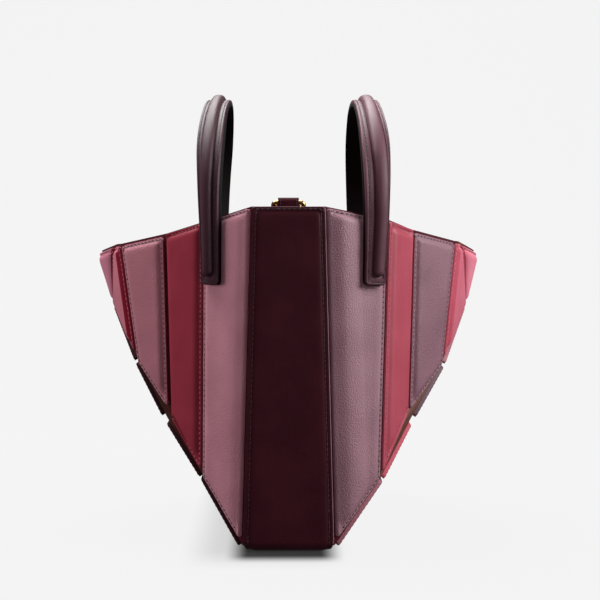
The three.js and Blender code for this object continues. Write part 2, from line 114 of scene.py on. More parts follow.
brown_leather = leather("brown_leather", "63382b", "4d2a20", roughness=0.6, gloss=0.3)
# A darker brown for the facing on the left half: painted shade.
brown_leather_painted_shade = leather("brown_leather_painted_shade", "43221c", "351913", roughness=0.6, gloss=0.2)
lining_leather_and_slot_shade = leather("lining_leather_and_slot_shade", "4a1620", "38101a", pebble=0.5, relief=0.15,
                         roughness=0.6, gloss=0.15)


def pick(piece):
    """Makes a piece the only one selected and the active one."""
    bpy.ops.object.select_all(action="DESELECT")
    piece.select_set(True)
    bpy.context.view_layer.objects.active = piece


def merged_copy(node, name):
    """A copy of a node's solid with its loose triangles joined into whole faces."""
    piece = bpy.data.objects.new(name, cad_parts[node].data.copy())
    bpy.context.scene.collection.objects.link(piece)
    pick(piece)
    piece.data.materials.clear()
    bpy.ops.object.mode_set(mode="EDIT")
    bpy.ops.mesh.select_all(action="SELECT")
    bpy.ops.mesh.remove_doubles(threshold=0.01 * MM)
    bpy.ops.mesh.dissolve_limited(angle_limit=math.radians(0.5))
    bpy.ops.object.mode_set(mode="OBJECT")
    return piece


def rounded_edges(piece, width, segments, angle):
    """Softens every edge sharper than the angle, as cut leather is."""
    bevel = piece.modifiers.new("soft_edges", "BEVEL")
    bevel.width = width * MM
    bevel.segments = segments
    bevel.limit_method = "ANGLE"
    bevel.angle_limit = math.radians(angle)
    bpy.context.view_layer.objects.active = piece
    bpy.ops.object.modifier_apply(modifier=bevel.name)


def smooth(piece, angle):
    """Smooth shading up to the given angle between faces."""
    pick(piece)
    bpy.ops.object.shade_smooth_by_angle(angle=math.radians(angle))


body = merged_copy("body", "body_carcass")
body.data.materials.append(lining_leather_and_slot_shade)
body.data.materials.append(brown_leather)
body.data.materials.append(brown_leather_painted_shade)
# A point inside the bag, from which outer faces look away, the least area of an outer wall and the height
# where the rim begins. Then the brown facing's width and how far from the middle ledges and feet have it.
HEART = Vector((0, 0, 0.15))
WALL_AREA, RIM_BEGINS = 1500, 190
FACING, LEDGE_FROM, FOOT_FROM = 10, 40, 62
UNDERSIDE_TILT, SIDE_TILT, FOOT_SLOPE = -0.3, 0.2, (0.5, 0.93)
BROWN, SHADED_BROWN = 1, 2
bpy.ops.object.mode_set(mode="EDIT")
bpy.ops.mesh.select_mode(type="FACE")
bpy.ops.mesh.select_all(action="DESELECT")
bpy.ops.object.mode_set(mode="OBJECT")
# Outside, the upright walls keep the dark lining leather: painted shade for the slots where alone they show.
for face in body.data.polygons:
    outward = face.normal.dot(face.center - HEART) > 0
    upright = face.normal.z > UNDERSIDE_TILT and abs(face.normal.x) > SIDE_TILT
    face.select = outward and upright and face.area > WALL_AREA * MM * MM
    sideways = abs(face.normal.x) < SIDE_TILT and face.center.z < RIM_BEGINS * MM
    ledge = sideways and abs(face.center.x) > LEDGE_FROM * MM
    # Brown facing, darker on the left half as painted shade.
    if outward and (face.normal.z < UNDERSIDE_TILT or ledge):
        face.material_index = BROWN if face.center.x > 0 else SHADED_BROWN
bpy.ops.object.mode_set(mode="EDIT")
bpy.ops.mesh.inset(thickness=FACING * MM, use_individual=True, use_select_inset=True)
bpy.ops.object.mode_set(mode="OBJECT")
# Of each face's margin only the slanting foot is brown, on the left half the darker brown of painted shade.
for face in body.data.polygons:
    corners = [body.data.vertices[k].co for k in face.vertices]
    longest = max((b - a for a, b in zip(corners, corners[1:] + corners[:1])), key=lambda run: run.length)
    slanting = FOOT_SLOPE[0] < abs(longest.normalized().z) < FOOT_SLOPE[1]
    if face.select and slanting and abs(face.center.x) > FOOT_FROM * MM:
        face.material_index = BROWN if face.center.x > 0 else SHADED_BROWN
rounded_edges(body, 0.5, 3, 40)
smooth(body, 35)
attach(body, "bag")
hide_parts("body")

# Upright panels and underside bands: padded leather cut to the folds of the body, in nested rings.
# Each has a raised foam middle and a flat margin that is sewn down with one row of saddle stitch.

# The body's folds in the front quarters in mm: x, y, z at the rim, then x and z at the foot.
FOLDS = {
    "right": [(24.6, -138, 232, 31.1, 3.9), (67, -121, 223.5, 62.3, 47), (85.5, -88, 216.5, 82, 83.5),
              (119, -54.5, 208, 109.3, 120), (123.3, -41.2, 207.5, 129.6, 159.5)],
    "left": [(24.6, -138, 232, 31.1, 3.9), (57, -110, 222, 58.3, 47), (85, -82, 213.5, 81.3, 84.5),
             (119, -54.5, 206, 106.5, 123), (123.5, -40.6, 205.5, 126.6, 160.5)],
}
FIRST_FOOT_Y = -136
HIP_FOLD, HIP_OUT = 2, 3.2
SEAT_GAP = 0.3
rims, feet, unders = {}, {}, {}
for side_name, folds in FOLDS.items():
    rim = [Vector(fold[:3]) for fold in folds]
    foot = [Vector((folds[0][3], FIRST_FOOT_Y, folds[0][4]))]
    for i in range(1, len(folds)):
        flat = (rim[i] - rim[i - 1]).cross(foot[i - 1] - rim[i - 1])
        x, z = folds[i][3:]
        off = (x - rim[i - 1].x) * flat.x + (z - rim[i - 1].z) * flat.z
        foot.append(Vector((x, rim[i - 1].y - off / flat.y, z)))
    # The underside stands out past the panels at its middle fold.
    under = [p + Vector((HIP_OUT if i == HIP_FOLD else 0, 0, 0)) for i, p in enumerate(foot)]
    rims[side_name], feet[side_name], unders[side_name] = rim, foot, under

# Cross-sections of a padded panel and of the stiffer bands, from the edge inwards: step in and rise, in mm.
PANEL_THICK, BAND_THICK = 1.3, 2.35
PANEL_EDGE = [(0.12, 0.22), (0.3, 0.13)]
PANEL_SEAM = [(0.45, 0.0), (0.25, -0.12), (0.22, -0.03), (0.22, 0.03), (0.25, 0.12)]
LOW_SHOULDER = [(0.35, 0.08), (0.4, 0.25), (0.45, 0.36), (0.55, 0.38),
                (0.65, 0.34), (0.8, 0.26), (1.0, 0.16), (1.2, 0.07)]
PANEL_SHOULDER = [(0.3, 0.1), (0.4, 0.36), (0.45, 0.52), (0.55, 0.54),
                  (0.65, 0.46), (0.8, 0.35), (1.0, 0.2), (1.2, 0.08)]
TIGHT_SHOULDER = [(0.3, 0.1), (0.35, 0.36), (0.35, 0.52), (0.4, 0.54),
                  (0.4, 0.46), (0.4, 0.35), (0.4, 0.2), (0.3, 0.08)]
BAND_SHOULDER = [(0.5, 0.1), (0.7, 0.2), (0.9, 0.2), (1.1, 0.13), (1.2, 0.07)]
PANEL_EDGE_RISE = sum(rise for step, rise in PANEL_EDGE)
HAIR, MITRE_NEAR = 0.01, 0.02
TIP_SHARE = 0.6
STITCH_IN, STITCH_SUNK, STITCH_PITCH = 1.34, 0.07, 3.5
STITCH_SLANT = math.radians(7)
HOLE_LONG, HOLE_WIDE, HOLE_DEEP, HOLE_SUNK = 1.2, 1.0, 0.3, 0.02
SEAM_CORNER = 1.2
PAD_SMOOTH, THREAD_SMOOTH = 50, 80
# Slots of thread, needle hole and the painted light and shade.
THREAD, HOLE, PAINTED_SHADING = 1, 2, 3


def trimmed(outline, margins):
    """Outline drawn in by its own margin along each edge, edge i starting at corner i."""
    count = len(outline)
    area = sum(outline[i - 1].cross(outline[i]) for i in range(count))
    turn = math.copysign(1, area)
    lines = []
    for i in range(count):
        along = (outline[(i + 1) % count] - outline[i]).normalized()
        inward = Vector((-along.y, along.x)) * turn
        lines.append((outline[i] + inward * margins[i], along))
    corners = []
    for i in range(count):
        (start, along), (start_b, along_b) = lines[i], lines[i - 1]
        corners.append(start + along * ((start_b - start).cross(along_b) / along.cross(along_b)))
    return corners


def padded_piece(name, outline, corner, thick, profile, tip=3.6):
    """A flat padded piece, its outline in mm round the origin: side wall, then the profile inwards."""
    bpy.ops.object.select_all(action="DESELECT")
    bpy.ops.mesh.primitive_circle_add(vertices=len(outline), radius=0.01, fill_type="NGON")
    piece = bpy.context.active_object
    piece.name = piece.data.name = name
    for vertex, place in zip(piece.data.vertices, outline):
        vertex.co = (place.x * MM, place.y * MM, 0)
    bpy.ops.object.mode_set(mode="EDIT")
    bpy.ops.mesh.select_mode(type="FACE")
    bpy.ops.mesh.select_all(action="SELECT")
    bpy.ops.mesh.extrude_region_move(TRANSFORM_OT_translate={"value": (0, 0, thick * MM)})
    for step, rise in profile:
        bpy.ops.mesh.inset(thickness=step * MM, depth=rise * MM, use_even_offset=True)
    bpy.ops.object.mode_set(mode="OBJECT")
    # The mitred edges, which run from each corner inwards, are rounded off together, more at sharp tips.
    mitres = []
    for before, spot, after in zip(outline[-1:] + outline[:-1], outline, outline[1:] + outline[:1]):
        back, ahead = (before - spot).normalized(), (after - spot).normalized()
        half = math.acos(max(-1, min(1, back.dot(ahead)))) / 2
        cut_back = max(corner, min(tip, TIP_SHARE * corner / math.tan(half)))
        mitres.append((spot, (back + ahead).normalized(), cut_back))
    weights = piece.data.attributes.new("bevel_weight_edge", "FLOAT", "EDGE")
    for edge in piece.data.edges:
        a, b = (Vector(piece.data.vertices[k].co[:2]) / MM for k in edge.vertices)
        for spot, inward, cut_back in mitres:
            if abs((a - spot).cross(inward)) < MITRE_NEAR and abs((b - spot).cross(inward)) < MITRE_NEAR:
                weights.data[edge.index].value = cut_back / tip
    bevel = piece.modifiers.new("corners", "BEVEL")
    bevel.limit_method = "WEIGHT"
    bevel.width = tip * MM
    bevel.segments = 3
    bevel.use_clamp_overlap = False
    bpy.ops.object.modifier_apply(modifier=bevel.name)
    return piece


def sliced(piece, axis, cuts):
    """Cuts a flat piece across at the given places, so that it can bend there."""
    pick(piece)
    bpy.ops.object.mode_set(mode="EDIT")
    for cut in cuts:
        bpy.ops.mesh.select_all(action="SELECT")
        bpy.ops.mesh.bisect(plane_co=[axis[0] * cut * MM, axis[1] * cut * MM, 0], plane_no=(*axis, 0))
    bpy.ops.object.mode_set(mode="OBJECT")


def rounded_line(outline, radius, per_corner=5):
    """Closed line with rounded corners, as a list of points."""
    line = []
    count = len(outline)
    for i in range(count):
        back = (outline[i - 1] - outline[i]).normalized()
        ahead = (outline[(i + 1) % count] - outline[i]).normalized()
        half = math.acos(max(-1, min(1, back.dot(ahead)))) / 2
        reach = radius / math.tan(half)
        start, end = outline[i] + back * reach, outline[i] + ahead * reach
        for k in range(per_corner):
            t = k / (per_corner - 1)
            line.append(start * (1 - t) ** 2 + outline[i] * 2 * t * (1 - t) + end * t * t)
    return line


def spaced(line, pitch, closed=True):
    """Even steps along a line: place and direction of each stitch."""
    ends = line + [line[0]] if closed else line
    lengths = [(b - a).length for a, b in zip(ends, ends[1:])]
    count = max(1, round(sum(lengths) / pitch))
    step = sum(lengths) / count
    stitches = []
    leg, passed = 0, 0.0
    for n in range(count):
        target = (n + 0.5) * step
        while passed + lengths[leg] < target and leg < len(lengths) - 1:
            passed += lengths[leg]
            leg += 1
        along = (ends[leg + 1] - ends[leg]).normalized()
        stitches.append((ends[leg] + along * (target - passed), along))
    return stitches


def sewing(name, stitches, level, length=2.3, thread=0.85):
    """A row of saddle stitches on a flat piece, each a slanted bead of thread with its needle hole."""
    bpy.ops.object.select_all(action="DESELECT")
    bpy.ops.mesh.primitive_uv_sphere_add(segments=6, ring_count=6, radius=0.5)
    bead = bpy.context.active_object
    shape = [(v.co.z * length, v.co.x * thread, v.co.y * thread) for v in bead.data.vertices]
    hole = [(v.co.z * HOLE_LONG, v.co.x * HOLE_WIDE, v.co.y * HOLE_DEEP) for v in bead.data.vertices]
    quads = [tuple(face.vertices) for face in bead.data.polygons]
    bpy.data.objects.remove(bead)
    points, faces, looks = [], [], []
    half_pitch = STITCH_PITCH / 2
    for place, along in stitches:
        turned = Vector((along.x * math.cos(STITCH_SLANT) - along.y * math.sin(STITCH_SLANT),
                         along.x * math.sin(STITCH_SLANT) + along.y * math.cos(STITCH_SLANT)))
        for form, centre, line, lift, look in (
                (shape, place, turned, level, THREAD),
                (hole, place + along * half_pitch, along, level - HOLE_SUNK, HOLE)):
            first = len(points)
            for x, y, z in form:
                points.append(((centre.x + line.x * x - line.y * y) * MM,
                               (centre.y + line.y * x + line.x * y) * MM, (lift + z) * MM))
            faces.extend(tuple(first + k for k in face) for face in quads)
            looks.extend([look] * len(quads))
    mesh = bpy.data.meshes.new(name)
    mesh.from_pydata(points, [], faces)
    mesh.polygons.foreach_set("material_index", looks)
    row = bpy.data.objects.new(name, mesh)
    bpy.context.scene.collection.objects.link(row)
    return row


def lay(piece, place):
    """Moves every point of a flat piece to its place on the bag and turns its faces outward."""
    for vertex in piece.data.vertices:
        vertex.co = place(*(vertex.co / MM)) * MM
    pick(piece)
    bpy.ops.object.mode_set(mode="EDIT")
    bpy.ops.mesh.select_all(action="SELECT")
    bpy.ops.mesh.normals_make_consistent(inside=False)
    bpy.ops.object.mode_set(mode="OBJECT")


def joined(piece, row):
    """Makes a row of stitches part of its piece."""
    pick(piece)
    row.select_set(True)
    bpy.ops.object.join()


def sewn_together(piece, row, place, looks):
    """Lays a piece and its stitches on the bag and joins them into one object."""
    for look in looks:
        piece.data.materials.append(look)
        row.data.materials.append(look)
    lay(piece, place)
    smooth(piece, PAD_SMOOTH)
    lay(row, place)
    smooth(row, THREAD_SMOOTH)
    joined(piece, row)


def thread(name, colour):
    """Waxed linen thread with its twist."""
    material = bpy.data.materials.new(name)
    material.use_nodes = True
    nodes, links = material.node_tree.nodes, material.node_tree.links
    surface = nodes["Principled BSDF"]
    surface.inputs["Roughness"].default_value = 0.55
    place = nodes.new("ShaderNodeTexCoord")
    twist = nodes.new("ShaderNodeTexNoise")
    twist.inputs["Scale"].default_value = 2600
    links.new(place.outputs["Object"], twist.inputs["Vector"])
    mix = nodes.new("ShaderNodeMix")
    mix.data_type = "RGBA"
    mix.inputs["A"].default_value = tint(colour)
    mix.inputs["B"].default_value = [c * 0.55 for c in tint(colour)[:3]] + [1]
    links.new(twist.outputs["Fac"], mix.inputs["Factor"])
    links.new(mix.outputs["Result"], surface.inputs["Base Color"])
    ridge = nodes.new("ShaderNodeBump")
    ridge.inputs["Strength"].default_value = 0.4
    ridge.inputs["Distance"].default_value = 0.1 * MM
    links.new(twist.outputs["Fac"], ridge.inputs["Height"])
    links.new(ridge.outputs["Normal"], surface.inputs["Normal"])
    return material


# Needle holes are dark marks on the surface: painted shade for the depth of each hole.
needle_hole = thread("needle_hole", "12060a")
# Near black for the band ends on the left half: painted shade.
band_edge_shade = leather("band_edge_shade", "2a1016", "1e0b10", pebble=0.5, relief=0.08, roughness=0.6, gloss=0.08)
# Each leather has a copy for each half of the bag, and the mauve one more for the third ring. Their colours
# differ as painted light and shade, lighter or darker as the light falls on each part.
PLAIN = dict(pebble=0.6, relief=0.12, roughness=0.5)
GRAINED = dict(pebble=0.9, relief=0.65, roughness=0.45)
mauve_right = leather("mauve_leather_right", "916974", "835c68", gloss=0.5, **GRAINED)
mauve_left = leather("mauve_leather_left", "a36e7a", "94616c", gloss=0.2, **GRAINED)
third_right = leather("third_mauve_leather_right", "815b67", "744f5b", gloss=0.45, **GRAINED)
third_left = leather("third_mauve_leather_left", "98606b", "8b5660", gloss=0.16, **GRAINED)
red_right = leather("red_leather_right", "a54454", "983a49", gloss=0.4, **PLAIN)
red_left = leather("red_leather_left", "7d2936", "71222f", gloss=0.1, **PLAIN)
rose_right = leather("rose_leather_right", "c4697a", "b55c6c", gloss=0.12, **PLAIN)
rose_left = leather("rose_leather_left", "9c5c68", "8e515d", gloss=0.2, **PLAIN)
# Deep rose: the darker strips along inner edges, petal sides and right red band ends, painted shade.
deep_rose = {"right": leather("deep_rose_leather_right", "b54f60", "a84555", gloss=0.1, **PLAIN),
             "left": leather("deep_rose_leather_left", "721a2a", "651524", gloss=0.1, **PLAIN)}
# A dim mauve for the band ends of the right third ring: painted shade.
dim_mauve = leather("dim_mauve_leather", "5c404a", "52373f", gloss=0.2, **PLAIN)
mauve_thread = thread("mauve_thread", "ab8690")
red_thread = thread("red_thread", "bc6672")
rose_thread = thread("rose_thread", "c07684")
# Leather, thread, needle hole and edge colour of each ring; the edge colour, used on the band ends, is near
# black on the left half and a lighter or darker leather on the right, as painted shade and light.
MAUVE = {"right": (mauve_right, mauve_thread, needle_hole, third_left),
         "left": (mauve_left, mauve_thread, needle_hole, band_edge_shade)}
THIRD = {"right": (third_right, mauve_thread, needle_hole, dim_mauve),
         "left": (third_left, mauve_thread, needle_hole, band_edge_shade)}
RED = {"right": (red_right, red_thread, needle_hole, deep_rose["right"]),
       "left": (red_left, red_thread, needle_hole, band_edge_shade)}
ROSE = {"right": (rose_right, rose_thread, needle_hole, rose_left),
        "left": (rose_left, red_thread, needle_hole, band_edge_shade)}

# One row a ring from the strip inwards, in mm: half slots at its upright sides, how far its foot stops short,
# and the distance of its band from the two folds it lies between.
PANEL_RINGS = [
    ("a", 0.4, 0.8, 3, 1.2, 0.5, 0.8, "mauve_leather", MAUVE),
    ("b", 0.8, 2.4, 2.5, 4.5, 0.8, 3, "red_leather", RED),
    ("c", 2.4, 1, 4, 0.8, 3, 1, "mauve_leather", THIRD),
    ("d", 1, 1, 5, 2, 1, 1, "rose_leather", ROSE),
]
SHOULDERS = {"a": LOW_SHOULDER, "b": PANEL_SHOULDER, "c": PANEL_SHOULDER, "d": TIGHT_SHOULDER}
PANEL_DROP = {"a": 1.1, "b": 1.1, "c": 2, "d": 2}
BAND_END = 1.6
PANEL_CORNER = 2
# By ring and side: how much more the foot is cut back at its outer corner, and how much wider the sewn margin
# is. By ring alone: the width of the deep-rose strip along the inner edge, painted shade on the shoulder
# there, which on the third is the wall alone.
SHORT_FOOT = {("b", "right"): 5.5}
WIDER_MARGIN = {("b", "right"): 0.8}
TONED = {"c": HAIR, "d": 4.6}
SIDES = (("right", 1), ("left", -1))
ENDS = (("front", 1), ("back", -1))

# Edges without a margin, where the pad rises from the seam in one curve: which edge of the panel it is, how
# far the curve reaches, its height at the seam and squareness, and the rise and width of the fuller part
# beside it. Stitches nearer than the unsewn width are left out there.
INNER_EDGE, OUTER_EDGE = 3, 1
SQUARE_ROLL = (OUTER_EDGE, 9, 0.6, 5, 0, 9)
NO_ROLL = (INNER_EDGE, 1, 0, 2, 0, 1)
ROLLED = {("a", "right"): (INNER_EDGE, 11, 0.3, 2, 2.2, 24), ("a", "left"): (INNER_EDGE, 9, 0.3, 2, 0.8, 24),
          ("b", "right"): SQUARE_ROLL, ("b", "left"): SQUARE_ROLL}
UNSEWN = 3
ROLL_CUTS, CROWN_CUTS = 11, 8


def flat_panel(name, corners, margins, thick, shoulder, side, end, looks,
               rolled=None, shaded_walls=False, wider=0, toned=0):
    """A padded panel on the flat face between four corners, mirrored to its side and end.
    Painted shading covers its side walls when they are to be shaded, and the given width along the inner edge
    if toned."""
    across = (corners[1] - corners[0]).normalized()
    normal = across.cross(corners[3] - corners[0]).normalized()
    middle = sum(corners, Vector()) / len(corners)
    if normal.dot(middle - HEART / MM) < 0:
        normal.negate()
    up = normal.cross(across)
    outline = [Vector(((c - corners[0]).dot(across), (c - corners[0]).dot(up))) for c in corners]
    outline = trimmed(outline, margins)
    edge, roll_reach, roll_start, squareness, roll_crown, crown_span = rolled or NO_ROLL
    roll_foot, roll_top = outline[edge], outline[(edge + 1) % len(outline)]
    if sum(outline[i - 1].cross(outline[i]) for i in range(len(outline))) < 0:
        outline.reverse()
    profile = PANEL_EDGE + [(PANEL_SEAM[0][0] + wider, 0)] + PANEL_SEAM[1:] + [(HAIR + wider, 0)] + shoulder
    piece = padded_piece(name, outline, PANEL_CORNER, thick, profile)
    # The side walls and seam take the edge colour: painted shade and light on the band ends.
    if shaded_walls:
        for face in piece.data.polygons:
            face.material_index = PAINTED_SHADING if face.center.z < (thick + PANEL_EDGE_RISE - HAIR) * MM else 0
    stitches = spaced(rounded_line(trimmed(outline, [STITCH_IN + wider] * 4), SEAM_CORNER), STITCH_PITCH)
    along_roll = (roll_top - roll_foot).normalized()
    inward = Vector((-along_roll.y, along_roll.x))
    if inward.dot(sum(outline, Vector((0, 0))) - roll_foot * len(outline)) < 0:
        inward.negate()
    # A strip along the inner edge takes the deep rose: painted shade on the shoulder there.
    for face in piece.data.polygons:
        if toned and (face.center.xy / MM - roll_foot).dot(inward) < toned:
            face.material_index = PAINTED_SHADING
    heights = [(0.0, thick)]
    for step, rise in profile:
        heights.append((heights[-1][0] + step, heights[-1][1] + rise))
    top = heights[-1][1]

    def rolled_level(away, z):
        """Height of a point on a rolled panel, from its distance to the rolled edge."""
        if away < roll_reach:
            k = max(0, min(len(heights) - 2, sum(step <= away for step, level in heights) - 1))
            (low_in, low), (high_in, high) = heights[k], heights[k + 1]
            usual = low + (high - low) * max(0, min(1, (away - low_in) / (high_in - low_in)))
            curve = math.sqrt(1 - (1 - max(0, away) / roll_reach) ** squareness)
            z *= (roll_start + (top - roll_start) * curve) / usual
        return z + roll_crown * math.sin(math.pi * max(0, min(1, away / crown_span))) * max(0, z) / top

    if rolled:
        stitches = [(p, way) for p, way in stitches if (p - roll_foot).dot(inward) > UNSEWN]
        base = roll_foot.dot(inward)
        if roll_crown:
            crown_step = (crown_span - roll_reach) / CROWN_CUTS
            cuts = [roll_reach * k / ROLL_CUTS for k in range(1, ROLL_CUTS + 1)]
            cuts += [roll_reach + crown_step * k for k in range(1, CROWN_CUTS + 1)]
            sliced(piece, inward, [base + cut for cut in cuts])
    row = sewing(name + "_sewing", stitches, thick + PANEL_EDGE_RISE - STITCH_SUNK)

    def place(x, y, z):
        if rolled:
            z = rolled_level((Vector((x, y)) - roll_foot).dot(inward), z)
        spot = corners[0] + across * x + up * y + normal * (z + SEAT_GAP)
        return Vector((spot.x * side, spot.y * end, spot.z))

    sewn_together(piece, row, place, looks)
    return piece


for side_name, side in SIDES:
    rim, foot, under = rims[side_name], feet[side_name], unders[side_name]
    for i, ring_row in enumerate(PANEL_RINGS):
        ring, inner_slot, outer_slot, inner_foot, outer_foot, low, high, slot, looks = ring_row
        which = ring, side_name
        cut_back = outer_foot + SHORT_FOOT.get(which, 0)
        low_outer = foot[i + 1] + (rim[i + 1] - foot[i + 1]).normalized() * cut_back
        low_inner = foot[i] + (rim[i] - foot[i]).normalized() * inner_foot
        for end_name, end in ENDS:
            node = f"panel_{ring}_{end_name}_{side_name}"
            tones = (*looks[side_name][:3], deep_rose[side_name])
            panel = flat_panel(f"padded_{node}", [rim[i], rim[i + 1], low_outer, low_inner],
                               [PANEL_DROP[ring], outer_slot, 0, inner_slot], PANEL_THICK, SHOULDERS[ring],
                               side, end, tones, ROLLED.get(which), wider=WIDER_MARGIN.get(which, 0),
                               toned=TONED.get(ring, 0))
            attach(panel, "bag")
            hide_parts(node)
        far = [Vector((p.x, -p.y, p.z)) for p in (under[i + 1], under[i])]
        node = f"band_{ring}_{side_name}"
        band = flat_panel(f"padded_{node}", [under[i], under[i + 1], *far],
                          [BAND_END, high, BAND_END, low], BAND_THICK, BAND_SHOULDER, side, 1,
                          looks[side_name], shaded_walls=True)
        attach(band, "bag")
        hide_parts(node)

# Petals: the padded middle of each broad side, moulded over the nose of the body at the rim.
# They are rose leather like the innermost ring, in a shade of their own, and are sewn down all round.
# Their shade is lighter on the right half and darker on the left, as painted light and shade, and a deep-rose
# strip down each side is painted shade.

NOSE_X, NOSE_Z = 139, 199.8
PETAL_SPAN, PETAL_TOP, PETAL_LOW = 0.965, 0.035, 0.95
PETAL_TONED = 3.4
PETAL_COLUMNS, PETAL_ROWS = 10, 8
NEARBY = 0.01
petal_leathers = {
    "right": leather("petal_leather_right", "de8294", "d07586", gloss=0.15, **PLAIN),
    "left": leather("petal_leather_left", "a8697a", "9a5e6d", gloss=0.15, **PLAIN)}


def nose_point(rim, foot, column, row):
    """A point of the nose, in shares: across from front to back, and down from the rim."""
    swell = 1 - column * column
    high = Vector((rim.x + (NOSE_X - rim.x) * swell, -rim.y * column, rim.z + (NOSE_Z - rim.z) * swell))
    low = Vector((foot.x, -foot.y * column, foot.z))
    return high.lerp(low, row)


for side_name, side in SIDES:
    node = f"petal_{side_name}"
    rim, foot = rims[side_name][4], feet[side_name][4]
    nose_drop = rim.z - foot.z

    def half_at(drop):
        return -(rim.y + (foot.y - rim.y) * drop)

    top_half, low_half = half_at(PETAL_TOP) * PETAL_SPAN, half_at(PETAL_LOW) * PETAL_SPAN
    top, low = -nose_drop * PETAL_TOP, -nose_drop * PETAL_LOW
    outline = [Vector((-low_half, low)), Vector((low_half, low)),
               Vector((top_half, top)), Vector((-top_half, top))]
    petal = padded_piece(f"padded_{node}", outline, PANEL_CORNER, PANEL_THICK,
                         PANEL_EDGE + PANEL_SEAM + LOW_SHOULDER)
    # A deep-rose strip down each side: painted shade.
    for face in petal.data.polygons:
        spot = face.center / MM
        if half_at(-spot.y / nose_drop) * PETAL_SPAN - abs(spot.x) < PETAL_TONED:
            face.material_index = PAINTED_SHADING
    sliced(petal, (1, 0), [top_half * k / PETAL_COLUMNS for k in range(1 - PETAL_COLUMNS, PETAL_COLUMNS)])
    sliced(petal, (0, 1), [low + (top - low) * k / PETAL_ROWS for k in range(1, PETAL_ROWS)])
    seam = rounded_line(trimmed(outline, [STITCH_IN] * 4), SEAM_CORNER)
    row = sewing(node + "_sewing", spaced(seam, STITCH_PITCH), PANEL_THICK + PANEL_EDGE_RISE - STITCH_SUNK)

    def on_nose(x, y, z):
        drop = -y / nose_drop
        column = x / half_at(drop)
        across = nose_point(rim, foot, column + NEARBY, drop) - nose_point(rim, foot, column - NEARBY, drop)
        down = nose_point(rim, foot, column, drop + NEARBY) - nose_point(rim, foot, column, drop - NEARBY)
        spot = nose_point(rim, foot, column, drop) + down.cross(across).normalized() * (z + SEAT_GAP)
        return Vector((spot.x * side, spot.y, spot.z))

    looks = (petal_leathers[side_name], *ROSE[side_name][1:3], deep_rose[side_name])
    sewn_together(petal, row, on_nose, looks)
    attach(petal, "bag")
    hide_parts(node)

# End strip: one length of bordeaux leather from the front rim, under the base, to the back rim.
# It is padded like the panels, wider at the base, bent round the corners and sewn along both edges.

STRIP_TOP_Z, STRIP_OVER_RIM = 230.5, 1.4
STRIP_TOP_HALF, STRIP_BASE_HALF = 24.7, 30.6
STRIP_THICK = 2.05
STRIP_EDGE = [(0.15, 0.25), (0.4, 0.15)]
STRIP_SEAM = [(2.0, 0.02), (0.3, -0.12), (0.25, -0.03), (0.25, 0.03), (0.3, 0.12)]
STRIP_CROWN = [(0.4, 0.25), (0.5, 0.24), (0.7, 0.2), (1.2, 0.14), (2.0, 0.07)]
STRIP_STITCH_IN, STRIP_STITCH_DOWN = 3.1, 1.6
STRIP_LEVEL = 2.42
STRIP_BEND = 3.6
# Share by which the strip narrows under the base, how far before the bend that begins, and how much longer
# than the bend it takes.
STRIP_TUCK, TUCK_BEFORE, TUCK_LONGER = 0.12, 1.5, 2
FLOOR_GAP = 0.05
# How far a face must look to the right, and how high over the seat it may lie, to take the painted highlight.
HIGHLIGHT_TILT, HIGHLIGHT_RISE = 0.2, 0.34
BEND_CUTS, WALL_CUTS, CROWN_LINES = 10, 16, 4
STRIP_WALL_Y = -138.3
STRIP_SEAT_Z = 3.4
wall_run = STRIP_TOP_Z - STRIP_SEAT_Z - STRIP_BEND
bend_run = STRIP_BEND * math.pi / 2
base_run = -2 * (STRIP_WALL_Y + STRIP_BEND)
strip_run = 2 * (wall_run + bend_run) + base_run


def on_strip(x, y, z):
    """A point of the strip: across, along from the front rim, and out from the body."""
    end = 1
    if y > strip_run / 2:
        y, end = strip_run - y, -1
    under = max(0, min(1, (y - wall_run + TUCK_BEFORE) / (bend_run + TUCK_LONGER)))
    x *= 1 - STRIP_TUCK * under * under
    if y < wall_run:
        spot = Vector((x, STRIP_WALL_Y - z, STRIP_TOP_Z - y))
    elif y < wall_run + bend_run:
        turn = (y - wall_run) / STRIP_BEND
        out = STRIP_BEND + z
        spot = Vector((x, STRIP_WALL_Y + STRIP_BEND - out * math.cos(turn),
                       STRIP_SEAT_Z + STRIP_BEND - out * math.sin(turn)))
    else:
        spot = Vector((x, STRIP_WALL_Y + STRIP_BEND + y - wall_run - bend_run, STRIP_SEAT_Z - z))
    return Vector((spot.x, spot.y * end, max(spot.z, FLOOR_GAP)))


bordeaux_leather = leather("bordeaux_leather", "3c131d", "300d16", pebble=0.7, relief=0.16,
                           roughness=0.42, gloss=0.16)
BORDEAUX = (bordeaux_leather, thread("bordeaux_thread", "42252d"), needle_hole)
# A light mauve for the strip's right-hand edge: a painted highlight.
strip_edge_highlight = leather("strip_edge_highlight", "7d5561", "6c4752", pebble=0.5, relief=0.1, roughness=0.55, gloss=0.3)
outline = [Vector(place) for place in (
    (-STRIP_TOP_HALF, -STRIP_OVER_RIM), (STRIP_TOP_HALF, -STRIP_OVER_RIM), (STRIP_BASE_HALF, wall_run),
    (STRIP_BASE_HALF, strip_run - wall_run), (STRIP_TOP_HALF, strip_run + STRIP_OVER_RIM),
    (-STRIP_TOP_HALF, strip_run + STRIP_OVER_RIM), (-STRIP_BASE_HALF, strip_run - wall_run),
    (-STRIP_BASE_HALF, wall_run))]
strip = padded_piece("padded_end_strip", outline, PANEL_CORNER, STRIP_THICK,
                     STRIP_EDGE + STRIP_SEAM + STRIP_CROWN)
